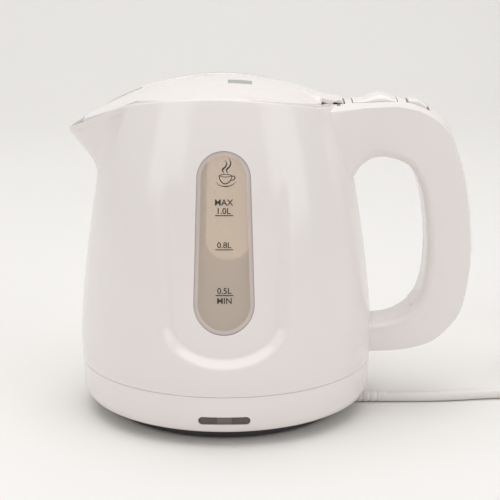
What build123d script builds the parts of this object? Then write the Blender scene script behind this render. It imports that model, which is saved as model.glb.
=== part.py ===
# Cordless electric kettle: jug with spout, D-shaped handle, hinged lid, two water windows,
# lift-off power base with a mains lead. Millimetres, +Z up.
# Origin: on the jug's upright axis, on the surface that the base stands on.
# The spout points to -X, the handle to +X, and the pilot lamp is on the -Y side.
import math
import os

from build123d import *

os.makedirs("parts", exist_ok=True)

# Driving dimensions
wall = 2.6  # moulded wall of the jug
seam_z = 25.0  # seam between the jug moulding and its bottom cover
body_profile = [  # radius and height of the jug's outside, from the seam upwards
    (71.4, seam_z),
    (72.1, 34.0),
    (69.8, 66.0),
    (62.5, 114.0),
    (56.6, 138.0),
    (49.8, 160.0),
    (46.6, 169.0),
]
rim_line = [  # the top edge of the moulding seen from the side, spout tip to handle
    (-76.4, 138.2),
    (-63.0, 145.2),
    (-45.0, 153.0),
    (-18.0, 158.0),
    (5.0, 158.5),
    (34.0, 154.3),
    (48.0, 151.0),
    (60.0, 149.6),
]
lid_line = [  # the crest of the lid seen from the side
    (-70.0, 142.6),
    (-62.0, 146.2),
    (-37.0, 156.4),
    (-13.0, 160.4),
    (4.0, 161.3),
    (30.6, 158.3),
    (50.0, 153.4),
    (60.0, 151.6),
]
lid_radius = 47.0
lid_shell = 2.6
hood_reach = 68.0  # how far the lid reaches over the spout
crown_radius = 350.0  # the lid's curve across Y
neck_radius = 47.5  # round mouth that the lid drops into
neck_z = 141.0  # shoulder under the mouth
hinge_x = 54.0
hinge_z = 149.6
hinge_barrel_r = 2.9
hinge_half = 8.9  # half the width of the lid's hinge tab
pin_radius = 1.25
grip_half = 13.5  # half the handle's width across Y
handle_outer = [  # the handle's outer edge seen from the side, lid to lower root
    (45.0, 151.0),
    (84.0, 152.4),
    (106.0, 142.0),
    (117.6, 110.0),
    (121.0, 80.0),
    (116.0, 46.0),
    (103.0, 32.2),
    (84.0, 27.0),
    (60.0, 25.6),
]
handle_inner = [  # the finger loop, from the body round to the body
    (58.0, 100.0),
    (62.4, 116.0),
    (70.0, 124.6),
    (80.0, 124.4),
    (90.0, 119.4),
    (96.0, 103.0),
    (98.2, 78.0),
    (95.4, 57.5),
    (87.5, 47.0),
    (76.0, 42.6),
    (60.0, 42.0),
]
button_span = (61.0, 82.0)  # lid release, along X
button_half = 8.0
button_travel = 2.5
rocker_span = (87.6, 96.4)  # power switch, along X
rocker_half = 7.0
rocker_pivot = (92.0, 143.4)
flange_z = 31.0  # underside of the ledge that the heater plate seals against
base_radius = 58.0
base_top_z = 14.5
cover_edge_z = 6.8  # lowest edge of the jug's skirt
cover_plate_z = 15.0  # underside of the cover's plate, over the base
post_radius = 8.6  # contact post in the middle of the base
socket_radius = 8.9
cord_d = 5.4
cord_y = -7.0  # the lead leaves the base here, towards +X
cord_z = cord_d / 2 + 0.1
window_low = (14.0, 67.0)  # radius and height of the window's lower round end
window_high = (12.3, 124.3)  # and of its upper round end
panel_width = 61.0  # recessed panel round each window
panel_bottom = 37.5
panel_corner = 22.0
panel_low = (67.6, 30.0)  # radius and height on the panel's cone
panel_high = (61.9, 116.0)
rim_z = 169.0  # top of the round shell before the rim is cut
boss_circle = 65.0  # screws that hold the bottom cover
lamp_z = 13.6
lamp_slot = (24.0, 3.8)
steam_port = (56.0, 0, 134.0)  # hole from the jug into the handle
steam_port_radius = 3.2
plate_z = 28.6  # underside of the heater plate
element_radius = 38.0
frame_low = 128.4  # underside of the switch frame
button_x = 71.5
button_spread = 0.4  # gap round a moving part in its opening
filter_row = (-6.2, 6.2)  # middle of each filter opening, along Y
filter_half = 4.9
filter_heights = (121.0, 136.6)
base_wall = 2.2
base_floor = 1.0
base_circle = 36.0  # screws under the base
ring_lows = (16.4, 19.4)  # grooves for the contact rings
ring_height = 1.8
coil_x = 187.0
coil_y = 34.0
coil_mean = 29.8  # radius at the middle of the turns
plug_at = (219.5, 14.2)  # X and Z of the plug's middle
plug_back = 91.0
plug_face = 121.0


def write(piece, name):
    piece.part.label = name
    export_step(piece.part, f"parts/{name}.step")


def window_outline(grow):
    """Sketch of a window, on the current plane: the hull of its two round ends."""
    with BuildSketch(Plane.XZ) as sketch:
        for radius, height in (window_low, window_high):
            with Locations((0, height)):
                Circle(radius + grow)
        make_hull(sketch.edges())
    return sketch.sketch


def profile_face(inset, low, high):
    """Half section of a body of revolution that follows the jug's outside, inset by a wall."""
    with BuildSketch(Plane.XZ) as sketch:
        with BuildLine():
            curve = Spline(*[(r - inset, z) for r, z in body_profile])
            Polyline(curve @ 1, (0, (curve @ 1).Y), (0, (curve @ 0).Y), curve @ 0)
        make_face()
        with Locations((0, (low + high) / 2)):
            Rectangle(200, high - low, mode=Mode.INTERSECT)
    return sketch.sketch


def spout_sections(inset):
    """Wedge sections of the spout at four heights, narrowing by the wall's thickness."""
    faces = []
    for z, nose, half in ((108, 59.0, 14.0), (122, 64.4, 19.0), (138.2, 76.4, 24.0), (156, 86.0, 27.0)):
        with BuildSketch(Plane.XY.offset(z)) as sketch:
            with BuildLine():
                Polyline(
                    (-nose + inset, 0),
                    (-50, -half + inset),
                    (-30, -half + inset),
                    (-30, half - inset),
                    (-50, half - inset),
                    close=True,
                )
            make_face()
            tip = sketch.vertices().sort_by(Axis.X)[0]
            fillet(tip, 3.2 - inset / 2)
        faces.append(sketch.sketch)
    return faces


def moved(points, distance):
    """Points of a side-view curve shifted square to it, to the right of its direction."""
    curve = Spline(*points, mode=Mode.PRIVATE)
    shifted = []
    for x, z in points:
        along = curve.tangent_at(Vector(x, z))
        shifted.append((x + along.Y * distance, z - along.X * distance))
    return shifted


def over_rim():
    """Side-view area over the rim line."""
    with BuildSketch(Plane.XZ) as sketch:
        with BuildLine():
            top = Spline(*rim_line)
            end = top @ 1
            Polyline(end, (75, end.Y), (75, 210), (-120, 210), (-120, (top @ 0).Y - 6), top @ 0)
        make_face()
    return sketch.sketch


def dome(drop):
    """Solid under the lid's crest, crowned across Y, lowered by a drop."""
    with BuildPart() as solid:
        with BuildSketch(Plane.XZ):
            with BuildLine():
                crest = Spline(*[(x, z - drop) for x, z in lid_line])
                end = crest @ 1
                start = crest @ 0
                Polyline(end, (end.X, 100), (start.X, 100), start)
            make_face()
        revolve(axis=Axis((0, 0, lid_line[4][1] - crown_radius), (1, 0, 0)))
    return solid.part


def ring(inner, outer, low, high):
    """Flat ring round the upright axis."""
    with BuildPart() as band:
        with BuildSketch(Plane.XY.offset(low)):
            Circle(outer)
            if inner:
                Circle(inner, mode=Mode.SUBTRACT)
        extrude(amount=high - low)
    return band.part


def block(x, y, z):
    """Box between two values on each axis."""
    with BuildPart() as solid:
        with BuildSketch(Plane.XY.offset(z[0])):
            with Locations(((x[0] + x[1]) / 2, (y[0] + y[1]) / 2)):
                Rectangle(x[1] - x[0], y[1] - y[0])
        extrude(amount=z[1] - z[0])
    return solid.part


def rod(centre, radius, half, plane):
    """Round bar through a point, along a plane's normal, half its length each way."""
    with BuildPart() as bar:
        with BuildSketch(Plane(origin=centre, x_dir=plane.x_dir, z_dir=plane.z_dir)):
            Circle(radius)
        extrude(amount=half, both=True)
    return bar.part


def around(count, radius, start=0.0):
    """Points spaced evenly on a circle round the upright axis."""
    for i in range(count):
        angle = math.radians(start + 360 * i / count)
        yield radius * math.cos(angle), radius * math.sin(angle)


boss_spots = list(around(3, boss_circle, 90))
base_screw_spots = list(around(3, base_circle, 90))
lead_port = block((66, 76), (-6, 6), (25.6, 30.9))  # hole for the switch leads

# Jug moulding: round shell and spout, and the blank of the handle
with BuildPart() as grip_blank:
    with BuildSketch(Plane.XZ) as grip_side:
        with BuildLine():
            back = Spline(*handle_outer)
            Polyline(back @ 1, (45, 25.6), back @ 0)
        make_face()
        with BuildLine():
            front = Spline(*handle_inner)
            Line(front @ 1, front @ 0)
        make_face(mode=Mode.SUBTRACT)
    extrude(amount=grip_half, both=True)
    long_edges = grip_blank.edges().filter_by(Axis.Y, reverse=True).filter_by(
        lambda e: e.length > 120 and abs(e.center().Y) > grip_half - 0.1
    )
    fillet(long_edges, 4.5)


def recess_outline(grow):
    """Rounded-bottom panel in which a window sits; it fades out upwards into the wall."""
    with BuildSketch(Plane.XZ) as sketch:
        with Locations((0, panel_bottom - grow)):
            RectangleRounded(panel_width + 2 * grow, 120, panel_corner, align=(Align.CENTER, Align.MIN))
    return sketch.sketch


def panel_cone(inset):
    """Solid of revolution whose side is the recessed panel's surface, inset by a wall."""
    low = panel_low[0] - inset
    high = panel_high[0] - inset
    top = rim_z + 1
    with BuildPart() as cone:
        with BuildSketch(Plane.XZ):
            corners = [(0, panel_low[1]), (low, panel_low[1]), (high, panel_high[1]), (high, top), (0, top)]
            Polygon(*corners, align=None)
        revolve(axis=Axis.Z)
    return cone.part


def panel_solid(inset):
    """The panel and the round wall over it, inset together."""
    with BuildPart() as solid:
        add(profile_face(inset, seam_z, rim_z))
        revolve(axis=Axis.Z)
        add(panel_cone(inset), mode=Mode.INTERSECT)
    return solid.part


with BuildPart() as recess_cut:
    extrude(recess_outline(0), amount=85, both=True)
    add(panel_cone(0), mode=Mode.SUBTRACT)

with BuildPart() as recess_inner:
    extrude(recess_outline(wall), amount=85, both=True)
    add(panel_cone(wall), mode=Mode.SUBTRACT)

with BuildPart() as chamber:
    add(profile_face(wall, flange_z + 3, neck_z))
    revolve(axis=Axis.Z)
    loft(spout_sections(wall))
    add(recess_inner.part, mode=Mode.SUBTRACT)
    add(ring(0, neck_radius, neck_z - 1, 185))

with BuildPart() as round_body:
    add(profile_face(0, seam_z, rim_z))
    revolve(axis=Axis.Z)

with BuildPart() as handle_bay:  # hollow inside the handle, for the switch and its leads
    with BuildSketch(Plane.XZ):
        with BuildLine():
            back = Spline(*moved(handle_outer, wall))
            Polyline(back @ 1, (45, 30), back @ 0)
        make_face()
        with BuildLine():
            front = Spline(*moved(handle_inner, -wall))
            Line(front @ 1, front @ 0)
        make_face(mode=Mode.SUBTRACT)
    extrude(amount=grip_half - wall, both=True)
    add(round_body.part, mode=Mode.SUBTRACT)
    add(block((40, 59.5), (-20, 20), (20, 170)), mode=Mode.SUBTRACT)

with BuildPart() as grip_slot:  # strip of the finger side, closed by the grip cover
    with BuildSketch(Plane.XZ):
        with BuildLine():
            outside = Spline(*moved(handle_inner, -wall - 0.3))
            Line(outside @ 1, outside @ 0)
        make_face()
        with BuildLine():
            loop = Spline(*handle_inner)
            Line(loop @ 1, loop @ 0)
        make_face(mode=Mode.SUBTRACT)
        with Locations((97, 84)):
            Rectangle(22, 66, mode=Mode.INTERSECT)
    extrude(amount=8.5, both=True)

with BuildPart() as hinge_notch:
    notch_z = hinge_z - hinge_barrel_r - 0.5
    add(block((40, 57.3), (-hinge_half - 0.4, hinge_half + 0.4), (notch_z, 170)))
    add(rod((hinge_x, 0, hinge_z), pin_radius, 12, Plane.XZ))

with BuildPart() as jug_body:
    add(round_body.part)
    add(recess_cut.part, mode=Mode.SUBTRACT)
    extrude(over_rim(), amount=90, both=True, mode=Mode.SUBTRACT)
    add(chamber.part, mode=Mode.SUBTRACT)
    add(ring(0, 68.8, seam_z - 1, flange_z), mode=Mode.SUBTRACT)
    add(ring(0, 56, flange_z - 1, flange_z + 5), mode=Mode.SUBTRACT)
    extrude(window_outline(0), amount=90, both=True, mode=Mode.SUBTRACT)
    add(hinge_notch.part, mode=Mode.SUBTRACT)
    # openings for the steam tube and the leads
    add(rod(steam_port, steam_port_radius, 9, Plane.YZ), mode=Mode.SUBTRACT)
    add(lead_port, mode=Mode.SUBTRACT)
    # screw bosses over the bottom cover
    with BuildSketch(Plane.XY.offset(20)):
        with Locations(*boss_spots):
            Circle(3.4)
            Circle(1.6, mode=Mode.SUBTRACT)
    extrude(amount=flange_z - 20 + 0.5)
write(jug_body, "jug_body")

# Spout: the wedge that stands out of the round wall
with BuildPart() as spout_shell:
    loft(spout_sections(0))
    extrude(over_rim(), amount=90, both=True, mode=Mode.SUBTRACT)
    add(round_body.part, mode=Mode.SUBTRACT)
    add(chamber.part, mode=Mode.SUBTRACT)
write(spout_shell, "spout_shell")

# Handle moulding: hollow loop against the round wall
with BuildPart() as handle_shell:
    add(grip_blank.part)
    add(round_body.part, mode=Mode.SUBTRACT)
    add(handle_bay.part, mode=Mode.SUBTRACT)
    add(grip_slot.part, mode=Mode.SUBTRACT)
    add(hinge_notch.part, mode=Mode.SUBTRACT)
    # openings for the button, the rocker, the steam tube and the leads
    opening_half = button_half + button_spread
    button_hole = (button_span[0] - button_spread, button_span[1] + button_spread)
    add(block(button_hole, (-opening_half, opening_half), (140, 170)), mode=Mode.SUBTRACT)
    opening_half = rocker_half + button_spread
    add(block((86.6, 98.0), (-opening_half, opening_half), (140, 170)), mode=Mode.SUBTRACT)
    add(rod(steam_port, steam_port_radius, 9, Plane.YZ), mode=Mode.SUBTRACT)
    add(lead_port, mode=Mode.SUBTRACT)
write(handle_shell, "handle_shell")

# Water windows: clear inserts, welded in from inside by a flange
for name, side in (("front_window", -1), ("rear_window", 1)):
    with BuildPart() as window:
        for grow, outer_inset, inner_inset in ((-0.1, 0.5, wall + 0.01), (2.4, wall, wall + 1.3)):
            with BuildPart(mode=Mode.PRIVATE) as layer:
                extrude(window_outline(grow), amount=-90 * side)
                add(panel_solid(outer_inset), mode=Mode.INTERSECT)
                add(panel_solid(inner_inset), mode=Mode.SUBTRACT)
            add(layer.part)
    write(window, name)

# Cover of the handle's finger side
with BuildPart() as grip_cover:
    add(grip_slot.part)
write(grip_cover, "grip_cover")

# Bottom cover: skirt, plate over the base, and posts for three screws
with BuildPart() as bottom_cover:
    with BuildSketch(Plane.XZ):
        with BuildLine():
            Polyline((68.8, seam_z), (71.4, seam_z), (71.3, 12.3), (69.6, 8.2))
            ThreePointArc((69.6, 8.2), (68.4, 7.2), (66.6, cover_edge_z))
            Polyline((66.6, cover_edge_z), (60.0, cover_edge_z), (60.0, cover_plate_z))
            Line((60.0, cover_plate_z), (20.6, cover_plate_z))
            Polyline((20.6, cover_plate_z), (20.6, 17.0), (62.0, 17.0), (62.0, 9.2), (66.4, 9.2))
            Polyline((66.4, 9.2), (68.4, 12.6), (68.8, seam_z))
        make_face()
    revolve(axis=Axis.Z)
    with BuildSketch(Plane.XY.offset(cover_edge_z + 1)):
        with Locations(*boss_spots):
            Circle(3.6)
    extrude(amount=19.5 - cover_edge_z - 1)
    with BuildSketch(Plane.XY.offset(cover_edge_z - 1)):
        with Locations(*boss_spots):
            Circle(2.9)
    extrude(amount=17 - cover_edge_z, mode=Mode.SUBTRACT)
    with BuildSketch(Plane.XY.offset(cover_edge_z)):
        with Locations(*boss_spots):
            Circle(1.7)
    extrude(amount=20, mode=Mode.SUBTRACT)
    with BuildSketch(Plane.XZ.offset(60)):
        with Locations((0, lamp_z)):
            SlotOverall(*lamp_slot)
    extrude(amount=15, mode=Mode.SUBTRACT)
write(bottom_cover, "bottom_cover")

with BuildPart() as lamp_lens:
    with BuildSketch(Plane.XZ.offset(60)):
        with Locations((0, lamp_z)):
            SlotOverall(lamp_slot[0] - 0.1, lamp_slot[1] - 0.1)
    extrude(amount=15)
    add(ring(68.9, 71.3, 5, 25), mode=Mode.INTERSECT)
write(lamp_lens, "lamp_lens")

with BuildPart() as pilot_lamp:
    add(rod((0, -66.2, lamp_z), 1.7, 1.9, Plane.XZ))
    add(block((-3.2, 3.2), (-64.4, -62.3), (10.6, 16.4)))
write(pilot_lamp, "pilot_lamp")

with BuildPart() as cover_screws:
    for z, radius, height in ((16.4, 1.6, 13.6), (14.2, 2.7, 1.8)):
        with BuildSketch(Plane.XY.offset(z - 0.4)):
            with Locations(*boss_spots):
                Circle(radius)
        extrude(amount=height)
write(cover_screws, "cover_screws")

# Heater: steel plate under the chamber's ledge, its seal, heat spreader and element
with BuildPart() as heater_plate:
    add(ring(0, 61, plate_z, plate_z + 0.8))
write(heater_plate, "heater_plate")

with BuildPart() as heater_seal:
    add(ring(56.5, 61, plate_z + 0.8, flange_z))
write(heater_seal, "heater_seal")

with BuildPart() as heat_spreader:
    add(ring(0, 48, plate_z - 1.6, plate_z))
write(heat_spreader, "heat_spreader")

with BuildPart() as heating_element:
    with BuildSketch(Plane.XZ):
        with Locations((element_radius, plate_z - 1.6)):
            Rectangle(7.2, 3.0, align=(Align.CENTER, Align.MAX))
        with Locations((element_radius, plate_z - 4.6)):
            Circle(3.6)
        with Locations((element_radius, plate_z - 1.6)):
            Rectangle(20, 20, align=(Align.CENTER, Align.MIN), mode=Mode.SUBTRACT)
    revolve(axis=Axis.Z, revolution_arc=300)
write(heating_element, "heating_element")

with BuildPart() as element_terminals:
    for angle in (-14, -46):
        x = element_radius * math.cos(math.radians(angle))
        y = element_radius * math.sin(math.radians(angle))
        add(block((x - 1.0, x + 1.0), (y - 3.2, y + 3.2), (18.6, plate_z - 1.6)))
write(element_terminals, "element_terminals")

# Socket in the jug's underside and its thermostat
with BuildPart() as jug_socket:
    add(ring(socket_radius, 20.4, 15.2, 24.4))
    add(ring(0, 20.4, 23.4, 24.4))
    add(ring(20.3, 23.4, 17.0, 19.0))
write(jug_socket, "jug_socket")

with BuildPart() as socket_contacts:
    for x in (-1, 1):
        add(block((x * 10.6 - 1.2, x * 10.6 + 1.2), (-1.5, 1.5), (24.4, 26.0)))
write(socket_contacts, "socket_contacts")

with BuildPart() as bimetal_discs:
    for y in (-14, 14):
        add(rod((0, y, 26.2), 6.4, 0.3, Plane.XY))
write(bimetal_discs, "bimetal_discs")

# Steam path and switch inside the handle
with BuildPart() as steam_tube:
    add(rod((56.5, 0, 134), 3.2, 7.6, Plane.YZ))
    add(rod((56.5, 0, 134), 2.2, 9, Plane.YZ), mode=Mode.SUBTRACT)
write(steam_tube, "steam_tube")

with BuildPart() as switch_frame:
    add(block((66, 91), (-9.4, 9.4), (frame_low, frame_low + 1.8)))
    add(block((87, 97), (-9.4, 9.4), (frame_low, frame_low + 1.8)))
    for side in (-1, 1):
        low, high = sorted((side * 7.5, side * 9.4))
        add(block((89, 95), (low, high), (frame_low, 145.2)))
    add(rod((button_x, 0, frame_low + 5.5), 1.6, 5.4, Plane.XY))
    add(block((82, 84), (-9.4, 9.4), (frame_low, 136)))
    x, z = rocker_pivot
    add(rod((x, 0, z), 1.0, 12, Plane.XZ), mode=Mode.SUBTRACT)
write(switch_frame, "switch_frame")

with BuildPart() as rocker_pin:
    add(rod((rocker_pivot[0], 0, rocker_pivot[1]), 1.0, 9.4, Plane.XZ))
write(rocker_pin, "rocker_pin")

with BuildPart() as steam_bimetal:
    add(rod((81.7, 0, 137.5), 5.0, 0.3, Plane.YZ))
write(steam_bimetal, "steam_bimetal")

with BuildPart() as switch_contacts:
    for y in (-5.2, 5.2):
        add(block((84.6, 85.2), (y - 1.5, y + 1.5), (frame_low + 1.8, 140)))
write(switch_contacts, "switch_contacts")

lead_route = [(64, 24), (79, 33.5), (97, 36), (108, 50), (110.5, 70), (109.4, 92)]
lead_route += [(104.5, 112), (98.5, 124.5)]
with BuildPart() as switch_leads:
    for y in (-3.0, 0.0, 3.0):
        with BuildLine() as path:
            FilletPolyline(*[Vector(x, y, z) for x, z in lead_route], radius=9)
        with BuildSketch(Plane(origin=path.line @ 0, z_dir=path.line % 0)):
            Circle(1.1)
        sweep(path=path.line)
write(switch_leads, "switch_leads")

# Spout filter
with BuildPart() as filter_frame:
    add(block((-51.4, -49.4), (-13, 13), (118, 139.6)))
    for y in filter_row:
        add(block((-53, -48), (y - filter_half, y + filter_half), filter_heights), mode=Mode.SUBTRACT)
write(filter_frame, "filter_frame")

with BuildPart() as filter_mesh:
    for y in filter_row:
        add(block((-50.6, -50.2), (y - filter_half, y + filter_half), filter_heights))
write(filter_mesh, "filter_mesh")

# Lid
with BuildPart() as lid_cover:
    add(ring(0, lid_radius, 130, 175))
    add(block((30, hinge_x), (-hinge_half, hinge_half), (130, 175)))
    with BuildPart(mode=Mode.PRIVATE) as hood:  # covers the spout up to a slot at its tip
        loft(spout_sections(wall + 0.8))
        add(block((-hood_reach, -30), (-40, 40), (130, 156)), mode=Mode.INTERSECT)
    add(hood.part)
    add(dome(0), mode=Mode.INTERSECT)
    add(dome(lid_shell), mode=Mode.SUBTRACT)
    add(block((1.4, 12.6), (-12.6, -1.4), (160.0, 170)), mode=Mode.SUBTRACT)
    add(rod((hinge_x, 0, hinge_z), hinge_barrel_r, hinge_half + 1, Plane.XZ), mode=Mode.SUBTRACT)
write(lid_cover, "lid_cover")

with BuildPart() as lid_badge:
    add(block((1.5, 12.5), (-12.5, -1.5), (160.0, 175)))
    add(dome(-0.05), mode=Mode.INTERSECT)
write(lid_badge, "lid_badge")

with BuildPart() as lid_liner:
    add(ring(0, 43.6, neck_z, 175))
    add(ring(0, 41.6, neck_z + 2, 175), mode=Mode.SUBTRACT)
    add(block((41.8, hinge_x), (-hinge_half, hinge_half), (hinge_z - hinge_barrel_r, 175)))
    add(dome(lid_shell), mode=Mode.INTERSECT)
    add(rod((hinge_x, 0, hinge_z), hinge_barrel_r, hinge_half, Plane.XZ))
    add(rod((hinge_x, 0, hinge_z), pin_radius + 0.05, 14, Plane.XZ), mode=Mode.SUBTRACT)
write(lid_liner, "lid_liner")

with BuildPart() as lid_seal:
    add(ring(43.6, 46.9, neck_z + 1, neck_z + 3))
write(lid_seal, "lid_seal")

with BuildPart() as hinge_pin:
    add(rod((hinge_x, 0, hinge_z), pin_radius, 12, Plane.XZ))
write(hinge_pin, "hinge_pin")

# Lid release button and its spring
with BuildPart() as release_button:
    with BuildSketch(Plane.XZ):
        with BuildLine():
            low, high = button_span
            Polyline((high, 147.0), (low, 147.0), (low, 151.8))
            Spline((low, 151.8), (68, 154.6), (73.5, 156.4), (78.5, 155.0), (high, 152.4))
            Line((high, 152.4), (high, 147.0))
        make_face()
    extrude(amount=button_half, both=True)
    add(block((59.9, 83.2), (-9.6, 9.6), (145.6, 147.4)))
    add(rod((button_x, 0, 144.6), 2.2, 1.5, Plane.XY))
write(release_button, "release_button")

spring_low = frame_low + 1.8
spring_high = 145.6
with BuildPart() as button_spring:
    with BuildLine() as coil_line:
        coil_height = spring_high - spring_low - 1.2
        Helix(pitch=2.2, height=coil_height, radius=3.0, center=(button_x, 0, spring_low + 0.6))
    with BuildSketch(Plane(origin=coil_line.line @ 0, z_dir=coil_line.line % 0)):
        Circle(0.45)
    sweep(path=coil_line.line)
write(button_spring, "button_spring")

with BuildPart() as power_rocker:
    with BuildSketch(Plane.XZ):
        low, high = rocker_span
        corners = [(low, 146.5), (low, 152.7), (92.4, 152.2), (high, 149.6), (high, 144), (92, 139.4)]
        Polygon(*corners, align=None)
    extrude(amount=rocker_half, both=True)
    add(rod((rocker_pivot[0], 0, rocker_pivot[1]), 1.06, 12, Plane.XZ), mode=Mode.SUBTRACT)
write(power_rocker, "power_rocker")

# Power base
with BuildPart() as base_top:
    add(ring(0, base_radius, base_floor, base_top_z))
    top_edge = base_top.edges().filter_by(GeomType.CIRCLE).sort_by(Axis.Z)[-1]
    fillet(top_edge, 3.5)
    add(ring(0, base_radius - base_wall, base_floor, base_top_z - base_wall), mode=Mode.SUBTRACT)
    add(ring(0, post_radius + 0.5, 5, 20), mode=Mode.SUBTRACT)
    with BuildSketch(Plane.XY.offset(3.0)):
        with Locations(*base_screw_spots):
            Circle(3.4)
            Circle(1.4, mode=Mode.SUBTRACT)
    extrude(amount=base_top_z - base_wall - 3.0)
    add(rod((57, cord_y, 3.5), 3.2, 6, Plane.YZ), mode=Mode.SUBTRACT)
    add(block((50, 62), (cord_y - 3.2, cord_y + 3.2), (0, 3.5)), mode=Mode.SUBTRACT)
write(base_top, "base_top")

with BuildPart() as base_plate:
    add(ring(0, base_radius - base_wall - 0.05, base_floor, 3.0))
    with BuildSketch(Plane.XY.offset(0.9)):
        with Locations(*base_screw_spots):
            Circle(1.5)
    extrude(amount=3, mode=Mode.SUBTRACT)
    add(block((30, 60), (cord_y - 3.4, cord_y + 3.4), (0, 4)), mode=Mode.SUBTRACT)
write(base_plate, "base_plate")

with BuildPart() as foot_ring:
    add(ring(42, 50, 0, base_floor))
    add(block((30, 60), (cord_y - 3.4, cord_y + 3.4), (-1, 4)), mode=Mode.SUBTRACT)
write(foot_ring, "foot_ring")

with BuildPart() as base_screws:
    for z, radius, height in ((1.0, 1.35, 9.0), (0.3, 2.8, 0.7)):
        with BuildSketch(Plane.XY.offset(z)):
            with Locations(*base_screw_spots):
                Circle(radius)
        extrude(amount=height)
write(base_screws, "base_screws")

with BuildPart() as base_terminals:
    for y in (-4, 0, 4):
        add(block((-16, -11.5), (y - 1.2, y + 1.2), (3.2, 9.0)))
write(base_terminals, "base_terminals")

# Contact post in the middle of the base
with BuildPart() as contact_post:
    add(ring(3.0, post_radius, 3.3, 22.8))
    add(ring(3.0, 11.0, 3.3, 8.0))
    for low in ring_lows:
        add(ring(post_radius - 0.8, 12, low, low + ring_height), mode=Mode.SUBTRACT)
write(contact_post, "contact_post")

with BuildPart() as contact_rings:
    for low in ring_lows:
        add(ring(post_radius - 0.8, post_radius, low, low + ring_height))
    add(rod((0, 0, 12.0), 1.2, 8.4, Plane.XY))
    add(ring(1.0, 3.0, 3.6, 4.4))
write(contact_rings, "contact_rings")

# Mains lead
with BuildPart() as strain_relief:
    with BuildSketch(Plane(origin=(46, cord_y, 3.1), x_dir=(0, 1, 0), z_dir=(1, 0, 0))):
        Circle(3.05)
    with BuildSketch(Plane(origin=(80, cord_y, 3.0), x_dir=(0, 1, 0), z_dir=(1, 0, 0))):
        Circle(2.85)
    loft()
write(strain_relief, "strain_relief")

cord_route = [(80, cord_y), (94, cord_y), (112, -6.0), (131, -2.6), (150, -1.2), (170, -1.0)]
turns = [
    (Vector(*b) - Vector(*a)).get_angle(Vector(*c) - Vector(*b))
    for a, b, c in zip(cord_route, cord_route[1:], cord_route[2:])
]
runs = [math.dist(a, b) for a, b in zip(cord_route, cord_route[1:])]
radii = [
    0.45 * min(first, second) / math.tan(math.radians(turn) / 2)
    for first, second, turn in zip(runs, runs[1:], turns)
]
with BuildPart() as cord_tube:
    with BuildLine() as tube_path:
        FilletPolyline(*[Vector(x, y, cord_z) for x, y in cord_route], radius=radii)
    with BuildSketch(Plane(origin=tube_path.line @ 0, z_dir=tube_path.line % 0)):
        Circle(cord_d / 2)
    sweep(path=tube_path.line)
write(cord_tube, "cord_tube")
tube_length = sum(edge.length for edge in tube_path.edges())

with BuildPart() as cord_coil:
    with BuildSketch(Plane.XY.offset(0.1)):
        with Locations((coil_x, coil_y)):
            Circle(coil_mean + 1.5 * cord_d)
            Circle(coil_mean - 1.5 * cord_d, mode=Mode.SUBTRACT)
    extrude(amount=2 * cord_d)
    add(block((130, 170), (-20, 1.9), (-1, 20)), mode=Mode.SUBTRACT)
    add(block((212, 240), (50, 90), (-1, 20)), mode=Mode.SUBTRACT)
write(cord_coil, "cord_coil")

tail_route = [(219.5, 50, 8.2), (219.2, 60, 10.6), (219.5, 71, 14.2)]
with BuildPart() as cord_tail:
    with BuildLine() as tail_path:
        FilletPolyline(*tail_route, radius=30)
    with BuildSketch(Plane(origin=tail_path.line @ 0, z_dir=tail_path.line % 0)):
        Circle(cord_d / 2)
    sweep(path=tail_path.line)
write(cord_tail, "cord_tail")

with BuildPart() as cord_tie:
    low = coil_y + coil_mean - 1.5 * cord_d
    high = coil_y + coil_mean + 1.5 * cord_d
    add(block((coil_x - 2.5, coil_x + 2.5), (low - 1.1, high + 1.0), (0.1, 2 * cord_d + 1.0)))
    add(block((coil_x - 3, coil_x + 3), (low - 0.3, high + 0.1), (0, 2 * cord_d + 0.15)), mode=Mode.SUBTRACT)
write(cord_tie, "cord_tie")


def plug_plane(y):
    """Plane square to the plug at a distance along Y."""
    return Plane(origin=(plug_at[0], y, plug_at[1]), x_dir=(-1, 0, 0), z_dir=(0, 1, 0))


with BuildPart() as plug_body:
    with BuildSketch(plug_plane(plug_back)):
        RectangleRounded(36, 28, 10)
    extrude(amount=plug_face - plug_back)
    fillet(plug_body.edges().filter_by(Axis.Y, reverse=True).group_by(Axis.Y)[0], 5)
    with BuildSketch(plug_plane(plug_back - 20)):
        Circle(3.6)
    with BuildSketch(plug_plane(plug_back + 1)):
        Circle(6.4)
    loft()
write(plug_body, "plug_body")

with BuildPart() as plug_pins:
    with BuildSketch(plug_plane(plug_face)):
        with Locations(Location((-7.9, 3, 0), (0, 0, -30)), Location((7.9, 3, 0), (0, 0, 30))):
            Rectangle(1.6, 6.3)
        with Locations((0, -7)):
            Rectangle(1.6, 6.3)
    extrude(amount=17)
write(plug_pins, "plug_pins")
print("cord length", tube_length + sum(edge.length for edge in tail_path.edges()))
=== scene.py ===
import math
import bmesh
import bpy
import numpy as np
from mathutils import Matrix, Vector


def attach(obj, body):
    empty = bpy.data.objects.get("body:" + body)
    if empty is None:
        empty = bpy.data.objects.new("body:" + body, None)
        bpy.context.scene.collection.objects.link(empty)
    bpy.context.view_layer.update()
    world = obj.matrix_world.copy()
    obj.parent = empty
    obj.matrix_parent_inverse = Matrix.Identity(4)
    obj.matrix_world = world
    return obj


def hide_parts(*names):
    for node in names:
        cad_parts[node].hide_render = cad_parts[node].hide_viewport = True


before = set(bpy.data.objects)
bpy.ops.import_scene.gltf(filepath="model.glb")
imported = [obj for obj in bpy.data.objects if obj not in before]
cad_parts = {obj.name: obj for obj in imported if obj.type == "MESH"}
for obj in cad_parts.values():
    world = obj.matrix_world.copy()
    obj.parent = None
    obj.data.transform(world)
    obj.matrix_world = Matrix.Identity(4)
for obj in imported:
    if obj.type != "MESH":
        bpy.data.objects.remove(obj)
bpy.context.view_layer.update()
mm = 0.001


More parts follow.
